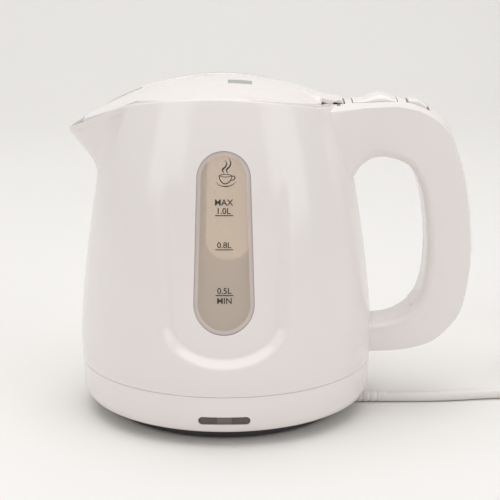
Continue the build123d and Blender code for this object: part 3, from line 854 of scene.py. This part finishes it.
gripLine = [(80.0, 124.4), (90.0, 119.4), (96.0, 103.0), (98.2, 78.0), (95.4, 57.5), (87.5, 47.0)]
gripChoices = {"heights": (51, 117), "half": 8.5, "deep": 2.0, "proud": 0.05, "edge": 0.8}


# Cover strip on the finger side of the handle: a flat box carried along the loop, with rounded edges.
def gripCoverShape():
    low, high = gripChoices["heights"]
    half, deep, proud, edge = gripChoices["half"], gripChoices["deep"], gripChoices["proud"], gripChoices["edge"]
    line = smoothLine(gripLine, 160)
    line = line[(line[:, 1] > low) & (line[:, 1] < high)]
    ahead = np.gradient(line, axis=0)
    ahead /= np.linalg.norm(ahead, axis=1)[:, None]
    normal = np.stack([ahead[:, 1], -ahead[:, 0]], 1)
    box = [(proud, half), (-deep, half), (-deep, -half), (proud, -half)]
    loop = roundCorners(box, [edge, 0, 0, edge], steps=4)
    sections = []
    for p, n in zip(line, normal):
        across = p + loop[:, :1] * n
        sections.append(np.stack([across[:, 0], loop[:, 1], across[:, 1]], 1))
    return closedTube(sections)


gripCover = makePiece("gripCover", gripCoverShape(), shellFinish, "jug")
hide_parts("grip_cover")


# Depth of the panel's surface at x and z: y = sqrt(r2 - x2), r being its radius less an inset.
def windowSurface(x, z, inset=0.5):
    r = panelRadius(z) - inset
    return np.sqrt(np.maximum(r**2 - x**2, 1))


# Outline of the insert, going once round: bottom circle, straight side, top circle, straight side.
def windowOutline(shrink=0.1):
    r1, z1 = windowLow
    r2, z2 = windowHigh
    r1, r2 = r1 - shrink, r2 - shrink
    tilt = math.asin((r1 - r2) / (z2 - z1))
    lower = np.linspace(-math.pi / 2, tilt, 40)
    upper = np.linspace(tilt, math.pi / 2, 40)
    bottom = np.stack([r1 * np.cos(lower), z1 + r1 * np.sin(lower)], 1)
    top = np.stack([r2 * np.cos(upper), z2 + r2 * np.sin(upper)], 1)
    side = bottom[-1] + (top[0] - bottom[-1]) * np.linspace(0, 1, 42)[1:-1, None]
    right = np.vstack([bottom, side, top])
    left = right[1:-1][::-1] * np.array([-1, 1])
    return np.vstack([right, left])


# Rings round the insert's middle line, each at an inset from the panel and a share of the outline: the
# back from the middle out, the side, a rounded edge, and the front back in.
def windowShape(side):
    outline = windowOutline()
    spine = np.stack([0 * outline[:, 0], np.clip(outline[:, 1], windowLow[1], windowHigh[1])], 1)
    rings = [(3.0, share) for share in np.linspace(0, 1, 8)]
    rings += [(1.4, 1.0), (0.75, 1.0), (0.56, 0.99)]
    rings += [(0.5, share) for share in np.linspace(0.975, 0, 14)]
    layers = []
    for inset, share in rings:
        flat = spine + (outline - spine) * share
        y = side * windowSurface(flat[:, 0], flat[:, 1], inset)
        layers.append(np.stack([flat[:, 0], y, flat[:, 1]], 1))
    return np.array(layers).reshape(-1, 3), gridFaces(len(layers), len(outline))


# Clear SAN insert, moulded: frosted all over from inside, denser and greyer along its edge.
def makeWindowFinish():
    material, tree = newMaterial("clear_san_frosted")
    place = addNode(tree, "ShaderNodeTexCoord").outputs["Object"]
    edge = addNode(tree, "ShaderNodeAttribute", {"attribute_name": "edgeDistance"}).outputs["Fac"]
    border = addNode(
        tree,
        "ShaderNodeMapRange",
        {"From Min": 0.0014, "From Max": 0.0024, "To Min": 1.0, "To Max": 0.0, "interpolation_type": "SMOOTHSTEP"},
        {"Value": edge},
    ).outputs["Result"]
    grain = addNode(
        tree, "ShaderNodeTexNoise", {"Scale": 1 / 0.0006, "Detail": 2.0}, {"Vector": place}
    ).outputs["Fac"]
    bump = addNode(
        tree, "ShaderNodeBump", {"Strength": 0.3, "Distance": 0.00002}, {"Height": grain}
    ).outputs["Normal"]
    colour = addNode(
        tree,
        "ShaderNodeMix",
        {"data_type": "RGBA", 6: linear("#F6E8DA"), 7: linear("#CFC4BF")},
        {0: border},
    ).outputs[2]
    skin = addNode(
        tree,
        "ShaderNodeBsdfPrincipled",
        {"Roughness": 0.16, "IOR": 1.57},
        {"Base Color": colour, "Normal": bump},
    ).outputs["BSDF"]
    clear = addNode(tree, "ShaderNodeBsdfTransparent", {"Color": linear("#FCF5EC")}).outputs["BSDF"]
    share = addNode(
        tree, "ShaderNodeMapRange", {"To Min": 0.40, "To Max": 0.9}, {"Value": border}
    ).outputs["Result"]
    mix = addNode(tree, "ShaderNodeMixShader", links={0: share, 1: clear, 2: skin}).outputs["Shader"]
    finishMaterial(tree, mix)
    return material


windowFinish = makeWindowFinish()
for name, node, side in (("frontWindow", "front_window", -1), ("rearWindow", "rear_window", 1)):
    window = makePiece(name, windowShape(side), windowFinish, "jug")
    spots = meshPoints(window.data) / mm
    depth = -windowDistance(spots[:, 0], spots[:, 2])[0] * mm
    edges = window.data.attributes.new("edgeDistance", "FLOAT", "POINT")
    edges.data.foreach_set("value", depth.astype(np.float32))
    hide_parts(node)
print("windows made")

markChoices = {"capHeight": 2.75, "bold": 0.012, "middle": 0.2, "lineWidth": 0.45, "lineDrop": 2.1, "lift": 0.07}
# text, height, and whether a line runs under it
levelMarks = [
    ("MAX", 113.9, False),
    ("1.0L", 110.1, True),
    ("0.8L", 94.6, True),
    ("0.5L", 73.6, True),
    ("MIN", 69.0, False),
]


# Lays a flat mark on the window's surface, a hair in front of it.
def onWindow(points):
    points = np.asarray(points, float)
    y = -windowSurface(points[:, 0], points[:, 1]) - markChoices["lift"]
    return np.stack([points[:, 0], y, points[:, 1]], 1)


# A word as flat faces, scaled to its cap height and centred on a point of the window.
def textShape(text, centreX, centreZ, capHeight):
    curve = bpy.data.curves.new("mark", "FONT")
    curve.body = text
    curve.align_x = "CENTER"
    curve.align_y = "CENTER"
    curve.size = 1.0
    curve.offset = markChoices["bold"]
    holder = bpy.data.objects.new("mark", curve)
    bpy.context.scene.collection.objects.link(holder)
    graph = bpy.context.evaluated_depsgraph_get()
    mesh = bpy.data.meshes.new_from_object(holder.evaluated_get(graph))
    flat = meshPoints(mesh)[:, :2]
    faces = [list(p.vertices) for p in mesh.polygons]
    bpy.data.objects.remove(holder)
    bpy.data.meshes.remove(mesh)
    scale = capHeight / (flat[:, 1].max() - flat[:, 1].min())
    middle = (flat.max(0) + flat.min(0)) / 2
    flat = (flat - middle) * scale + np.array([centreX, centreZ])
    return onWindow(flat), faces


# A line of changing width as a strip of quads.
def strip(points, widths):
    p = np.array(points, float)
    along = np.gradient(p, axis=0)
    along /= np.linalg.norm(along, axis=1)[:, None]
    normal = np.stack([-along[:, 1], along[:, 0]], 1)
    w = np.interp(np.linspace(0, 1, len(p)), np.linspace(0, 1, len(widths)), widths)[:, None] / 2
    flat = np.vstack([p + normal * w, p - normal * w])
    n = len(p)
    faces = [[i, i + 1, n + i + 1, n + i] for i in range(n - 1)]
    return onWindow(flat), faces


# A plain cup on a saucer with two wisps of steam.
def cupMark(x, z):
    parts = []
    bowl = [(-3.4, 0.6), (-3.2, -0.8), (-2.2, -2.3), (-0.6, -3.0), (1.0, -2.3), (2.0, -0.8), (2.2, 0.6)]
    parts.append(strip(smoothLine([(x + a, z + b) for a, b in bowl], 30), [0.3, 0.5, 0.3]))
    lip = [(-3.4, 0.6), (-2.2, 0.15), (-0.6, 0.0), (1.0, 0.15), (2.2, 0.6)]
    lip += [(1.0, 1.0), (-0.6, 1.15), (-2.2, 1.0), (-3.4, 0.6)]
    parts.append(strip(smoothLine([(x + a, z + b) for a, b in lip], 40), [0.3, 0.25, 0.3]))
    ear = [(2.1, 0.1), (3.2, 0.4), (3.7, -0.4), (3.0, -1.3), (1.8, -1.5)]
    parts.append(strip(smoothLine([(x + a, z + b) for a, b in ear], 20), [0.3, 0.45, 0.3]))
    dish = [(-4.6, -2.4), (-3.4, -3.6), (-0.6, -4.2), (2.2, -3.6), (4.4, -1.9)]
    parts.append(strip(smoothLine([(x + a, z + b) for a, b in dish], 30), [0.1, 0.5, 0.1]))
    for shift, tall in ((-1.1, 0.0), (0.7, 1.2)):
        wisp = [(0.0, 1.4), (-0.8, 3.0), (0.6, 4.6), (1.1, 6.0), (0.2, 7.4 + tall)]
        parts.append(strip(smoothLine([(x + a + shift, z + b) for a, b in wisp], 30), [0.1, 0.75, 0.5, 0.1]))
    return combine(*parts)


markParts = [cupMark(1.4, 125.2)]
for text, height, lined in levelMarks:
    markParts.append(textShape(text, markChoices["middle"], height, markChoices["capHeight"]))
    under = height - markChoices["lineDrop"]
    if lined:
        markParts.append(strip([(x, under) for x in (-3.8, 0.2, 4.3)], [markChoices["lineWidth"]]))
marks = makePiece("levelMarks", combine(*markParts), inkFinish, "jug", solid=False)
work = bmesh.new()
work.from_mesh(marks.data)
work.normal_update()
bmesh.ops.reverse_faces(work, faces=[f for f in work.faces if f.normal.y > 0])
work.to_mesh(marks.data)
work.free()
print("marks made")

# Half outline of the bottom cover, going once round it.
coverOutline = [
    (68.8, 24.95),
    (71.1, 24.95),
    (71.4, 24.65),
    (71.38, 20.0),
    (71.3, 12.3),
    (70.8, 10.9),
    (69.9, 9.0),
    (69.0, 7.8),
    (67.8, 7.1),
    (66.6, 6.8),
    (60.4, 6.8),
    (60.0, 7.2),
    (60.0, 15.0),
    (20.6, 15.0),
    (20.6, 17.0),
    (62.0, 17.0),
    (62.0, 9.2),
    (66.4, 9.2),
    (68.4, 12.6),
]
slotChoices = {"width": 24.0, "height": 3.8, "z": 13.6}


# A slot's outline: two half circles with straight sides between them.
def capsuleLoop(width, height, z, steps=14):
    r = height / 2
    right = np.linspace(-math.pi / 2, math.pi / 2, steps)
    x, dz = (width / 2 - r) + r * np.cos(right), r * np.sin(right)
    return np.vstack([np.stack([x, z + dz], 1), np.stack([-x, z - dz], 1)])


# The slot's outline carried from one depth to another along y.
def slotBar(width, height, near, far):
    loop = capsuleLoop(width, height, slotChoices["z"])
    return closedTube([np.stack([loop[:, 0], np.full(len(loop), y), loop[:, 1]], 1) for y in (near, far)])


cover = makePiece("bottomCover", turned(coverOutline, 240), shellFinish, "jug", sharpAngle=45)
cutAway(cover, slotBar(slotChoices["width"], slotChoices["height"], -80, -62.5))
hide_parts("bottom_cover")


# Rings round the slot's middle line, each at a radius of the skirt and a share of the outline.
def lensShape():
    loop = capsuleLoop(slotChoices["width"] - 0.1, slotChoices["height"] - 0.1, slotChoices["z"], 20)
    layers = []
    spine = np.stack([np.clip(loop[:, 0], -10, 10), np.full(len(loop), slotChoices["z"])], 1)
    for radius, share in ((68.9, 0), (68.9, 1), (70.6, 1), (70.75, 0.96), (70.8, 0.85), (70.8, 0)):
        flat = spine + (loop - spine) * share
        y = -np.sqrt(radius**2 - flat[:, 0] ** 2)
        layers.append(np.stack([flat[:, 0], y, flat[:, 1]], 1))
    sections = np.array(layers)
    return sections.reshape(-1, 3), gridFaces(len(layers), len(loop))


# Smoked polycarbonate lens, polished: dark, and clearer over the lamp in its middle.
def makeLensFinish():
    material, tree = newMaterial("smoked_pc_polished")
    place = addNode(tree, "ShaderNodeTexCoord").outputs["Object"]
    parts = addNode(tree, "ShaderNodeSeparateXYZ", links={0: place})
    away = addNode(tree, "ShaderNodeMath", {"operation": "ABSOLUTE"}, {0: parts.outputs["X"]}).outputs[0]
    middle = addNode(
        tree,
        "ShaderNodeMapRange",
        {"From Min": 0.0030, "From Max": 0.0036, "To Min": 1.0, "To Max": 0.0},
        {"Value": away},
    ).outputs["Result"]
    swirl = addNode(tree, "ShaderNodeTexNoise", {"Scale": 600.0}, {"Vector": place}).outputs["Fac"]
    dark = addNode(
        tree, "ShaderNodeMix", {"data_type": "RGBA", 6: linear("#4A403D"), 7: linear("#5C514D")}, {0: swirl}
    ).outputs[2]
    colour = addNode(
        tree, "ShaderNodeMix", {"data_type": "RGBA", 7: linear("#6B615D")}, {0: middle, 6: dark}
    ).outputs[2]
    shader = addNode(
        tree, "ShaderNodeBsdfPrincipled", {"Roughness": 0.12, "IOR": 1.58}, {"Base Color": colour}
    )
    finishMaterial(tree, shader.outputs["BSDF"])
    return material


lens = makePiece("lampLens", lensShape(), makeLensFinish(), "jug")
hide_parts("lamp_lens")
print("bottom made")

# The lid: a shallow dome with a hood over the spout and a hinge tab behind.
lidCrest = [(-70, 142.6), (-62, 146.2), (-37, 156.4), (-13, 160.4), (4, 161.3)]
lidCrest += [(30.6, 158.3), (50, 153.4), (60, 151.6)]
lidChoices = {
    "radius": 47.0,
    "hood": 68.0,
    "hoodHalf": 22.4,
    "hoodNose": 78.8,
    "tab": 56.8,
    "tabHalf": 8.9,
    "tabFloor": 147.0,
    "edge": 0.8,
    "thick": 2.6,
    "crown": 350.0,
}
hingeChoices = {"x": 54.0, "z": 149.6, "radius": 3.2}


# The crest's height less y2 / 2R; behind, the edge beside the hinge tab sinks to the rim.
def lidTop(x, y):
    height = valueAt(lidCrest, x) - y**2 / (2 * lidChoices["crown"])
    above = np.maximum(height - rimHeight(x) - 0.2, 0)
    outward = easeStep(30, 47, np.hypot(x, y)) * easeStep(7, 13, np.abs(y)) * easeStep(-10, 10, x)
    return np.minimum(height - above * outward, hingeChoices["z"] + barrelHeight(x))


# Half height of the round back of the hinge tab: sqrt(R2 - (x - hinge)2), without limit in front of the pin.
def barrelHeight(x):
    past = np.maximum(x - hingeChoices["x"], 0)
    return np.where(past > 0, np.sqrt(np.maximum(hingeChoices["radius"] ** 2 - past**2, 0)), 50.0)


# Underside: a shell's thickness below the top, and down to the notch's floor along the hinge tab.
def lidUnder(x, y):
    plain = lidTop(x, y) - lidChoices["thick"]
    deep = np.maximum(lidChoices["tabFloor"], hingeChoices["z"] - barrelHeight(x))
    share = easeStep(44, 46, x) * (np.abs(y) < 9)
    return plain + (np.minimum(deep, plain) - plain) * share


# Outline of the lid by angle: the round edge, or the hinge tab or the hood where they reach further.
def lidReach(angle):
    c, s = np.cos(angle), np.abs(np.sin(angle))
    tab = np.minimum(lidChoices["tab"] / np.maximum(c, 1e-3), lidChoices["tabHalf"] / np.maximum(s, 1e-3))
    half, nose = lidChoices["hoodHalf"], lidChoices["hoodNose"]
    back = np.maximum(-c, 1e-3)
    hood = np.minimum(half * nose / (half * back + (nose - 50) * s), half / np.maximum(s, 1e-3))
    hood = np.minimum(hood, lidChoices["hood"] / back)
    return np.maximum(lidChoices["radius"], np.where(c > 0, tab, hood))


# Rings of shares of the outline: the top from the middle out, a rounded edge, and the underside back in.
def lidShape():
    corner = math.atan2(lidChoices["tabHalf"], lidChoices["tab"])
    side = math.asin(lidChoices["tabHalf"] / lidChoices["radius"])
    near = np.concatenate([np.linspace(0, corner, 14), np.linspace(corner, side, 8)[1:]])
    rest = np.linspace(side, math.pi, 220)[1:]
    half = np.concatenate([near, rest])
    angle = np.concatenate([half, -half[1:-1][::-1]])
    reach = lidReach(angle)
    e = lidChoices["edge"]
    rows = []
    for share in np.linspace(0, 1, 46):
        r = share * (reach - e)
        x, y = r * np.cos(angle), r * np.sin(angle)
        rows.append(np.stack([x, y, lidTop(x, y)], 1))
    for turn in np.linspace(0, math.pi / 2, 6)[1:]:
        r = reach - e + e * math.sin(turn)
        x, y = r * np.cos(angle), r * np.sin(angle)
        rows.append(np.stack([x, y, lidTop(x, y) - e * (1 - math.cos(turn))], 1))
    for share in np.linspace(1, 0, 12):
        r = share * reach
        x, y = r * np.cos(angle), r * np.sin(angle)
        rows.append(np.stack([x, y, lidUnder(x, y)], 1))
    sections = np.array(rows)
    return sections.reshape(-1, 3), gridFaces(len(rows), len(angle))


lid = makePiece("lidCover", lidShape(), shellFinish, "lid", sharpAngle=40)
cutAway(lid, boxShape((1.4, 12.6), (-12.6, -1.4), (160.0, 170)))  # pocket of the inlay
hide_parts("lid_cover")


# The inlay: a rounded square laid on the lid's surface, with a hair of a rounded edge.
def badgeShape():
    loop = roundCorners([(1.5, -12.5), (12.5, -12.5), (12.5, -1.5), (1.5, -1.5)], 0.6, steps=3)
    middle = loop.mean(0)
    rows = []
    for share, drop in ((0, 0.6), (1, 0.6), (1, 0.1), (0.98, 0.0), (0, 0.0)):
        flat = middle + (loop - middle) * share
        z = lidTop(flat[:, 0], flat[:, 1]) - drop + 0.03
        rows.append(np.stack([flat[:, 0], flat[:, 1], z], 1))
    return np.array(rows).reshape(-1, 3), gridFaces(len(rows), len(loop))


badge = makePiece("lidInlay", badgeShape(), inlayFinish, "lid")
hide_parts("lid_badge")
print("lid made")


# A side-view outline pulled out along y: z falls by drop (1 - sqrt(1 - |y / half|^3)) towards the sides.
def pillow(outline, half, drop, rows=25):
    sections = []
    for turn in np.linspace(-math.pi / 2, math.pi / 2, rows):
        y = half * math.sin(turn)
        fall = 1 - math.sqrt(max(1 - abs(y / half) ** 3, 0))
        sections.append(np.stack([outline[:, 0], np.full(len(outline), y), outline[:, 1] - drop * fall], 1))
    return closedTube(sections)


buttonTop = smoothLine([(61, 151.9), (65, 152.3), (69, 153.8), (73.5, 155.3), (78, 154.5), (82, 152.6)], 40)
buttonOutline = np.vstack([[(61, 147.0)], buttonTop, [(82, 147.0)]])
buttonDrop = np.maximum(buttonOutline[:, 1] - 151.3, 0)
button = makePiece("releaseButton", pillow(buttonOutline, 8.0, buttonDrop), shellFinish, "button", sharpAngle=50)
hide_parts("release_button")

rockerOutline = roundCorners(
    [(87.6, 146.5), (87.6, 152.7), (92.4, 152.2), (96.4, 149.6), (96.4, 144.0), (92.0, 139.4)],
    [0.3, 0.9, 3.0, 0.9, 0.6, 0.6],
    steps=6,
)
rockerDrop = np.where(rockerOutline[:, 1] > 148, 1.0, 0.0)
rocker = makePiece("powerRocker", pillow(rockerOutline, 7.0, rockerDrop), shellFinish, "rocker", sharpAngle=50)
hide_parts("power_rocker")
print("button and rocker made")

# Finishes of the parts whose shape comes straight from the CAD model.
nodeFinishes = {
    # base_top, base_plate and foot_ring are dark as painted shade for the gap under the jug.
    "base_top": shadeDarkBaseFinish,
    "base_plate": nylonAndShadeFinish,
    "foot_ring": nylonAndShadeFinish,
    "base_screws": steelFinish,
    "base_terminals": brassFinish,
    "contact_post": nylonAndShadeFinish,
    "contact_rings": brassFinish,
    "pilot_lamp": innerFinish,
    "cover_screws": steelFinish,
    "heater_plate": steelFinish,
    "heater_seal": rubberFinish,
    "heat_spreader": castFinish,
    "heating_element": castFinish,
    "element_terminals": steelFinish,
    "jug_socket": nylonAndShadeFinish,
    "socket_contacts": brassFinish,
    "bimetal_discs": steelFinish,
    "steam_tube": innerFinish,
    "switch_frame": nylonAndShadeFinish,
    "rocker_pin": steelFinish,
    "steam_bimetal": steelFinish,
    "switch_contacts": brassFinish,
    "switch_leads": jacketFinish,
    "filter_frame": innerFinish,
    "filter_mesh": innerFinish,
    "hinge_pin": steelFinish,
    "button_spring": steelFinish,
    "lid_liner": innerFinish,
    "lid_seal": rubberFinish,
}
for node, finish in nodeFinishes.items():
    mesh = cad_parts[node].data
    mesh.materials.clear()
    mesh.materials.append(finish)
print("nodes finished")

roomChoices = {"front": -3000, "bendAt": 900, "bendRadius": 700, "height": 3000, "halfWidth": 3500}


# Floor that turns up into a wall along an arc: y = bendAt + R sin a, z = R - R cos a.
def roomShape():
    at, radius = roomChoices["bendAt"], roomChoices["bendRadius"]
    bend = [(at + radius * math.sin(a), radius - radius * math.cos(a)) for a in np.linspace(0.1, math.pi / 2, 16)]
    line = [(roomChoices["front"], 0), (at, 0), *bend, (at + radius, roomChoices["height"])]
    line = np.array(line, float)
    ends = (-roomChoices["halfWidth"], roomChoices["halfWidth"])
    sections = [np.stack([np.full(len(line), x), line[:, 0], line[:, 1]], 1) for x in ends]
    return np.vstack(sections), gridFaces(2, len(line), closed=False)


# Matt painted board: even and pale, without a highlight.
floorFinish = solidFinish(
    "matt_painted_board",
    {
        "colours": ("#EDEBE8", "#EBE9E6"),
        "rough": (0.8, 0.9),
        "driftSize": 0.3,
        "grain": (0.002, 0.00002),
        "ior": 1.3,
    },
)
room = makePiece("floorBoard", roomShape(), floorFinish, None, solid=False)


# A soft rectangular light at a place, turned to its aim.
def addLight(name, place, aim, size, power, colour):
    light = bpy.data.lights.new(name, "AREA")
    light.shape = "RECTANGLE"
    light.size, light.size_y = size
    light.energy = power
    light.color = linear(colour)[:3]
    holder = bpy.data.objects.new(name, light)
    bpy.context.scene.collection.objects.link(holder)
    holder.location = place
    holder.rotation_euler = (Vector(aim) - Vector(place)).to_track_quat("-Z", "Y").to_euler()


lights = [
    ("topLight", (-0.1, 0.0, 1.7), (0, 0, 0), (1.8, 1.8), 21.0, "#FFFFFF"),
    ("leftLight", (-1.4, -1.0, 0.9), (0, 0, 0.08), (1.2, 1.2), 5.6, "#FFFFFF"),
    ("rightLight", (1.5, -0.9, 0.8), (0, 0, 0.08), (1.2, 1.3), 7.0, "#FFFFFF"),
]
for each in lights:
    addLight(*each)
world = bpy.data.worlds.new("studio")
world.use_nodes = True
world.node_tree.nodes.clear()
sky = addNode(world.node_tree, "ShaderNodeBackground", {"Color": linear("#F4F4F5"), "Strength": 0.46})
addNode(world.node_tree, "ShaderNodeOutputWorld", links={"Surface": sky.outputs["Background"]})
bpy.context.scene.world = world
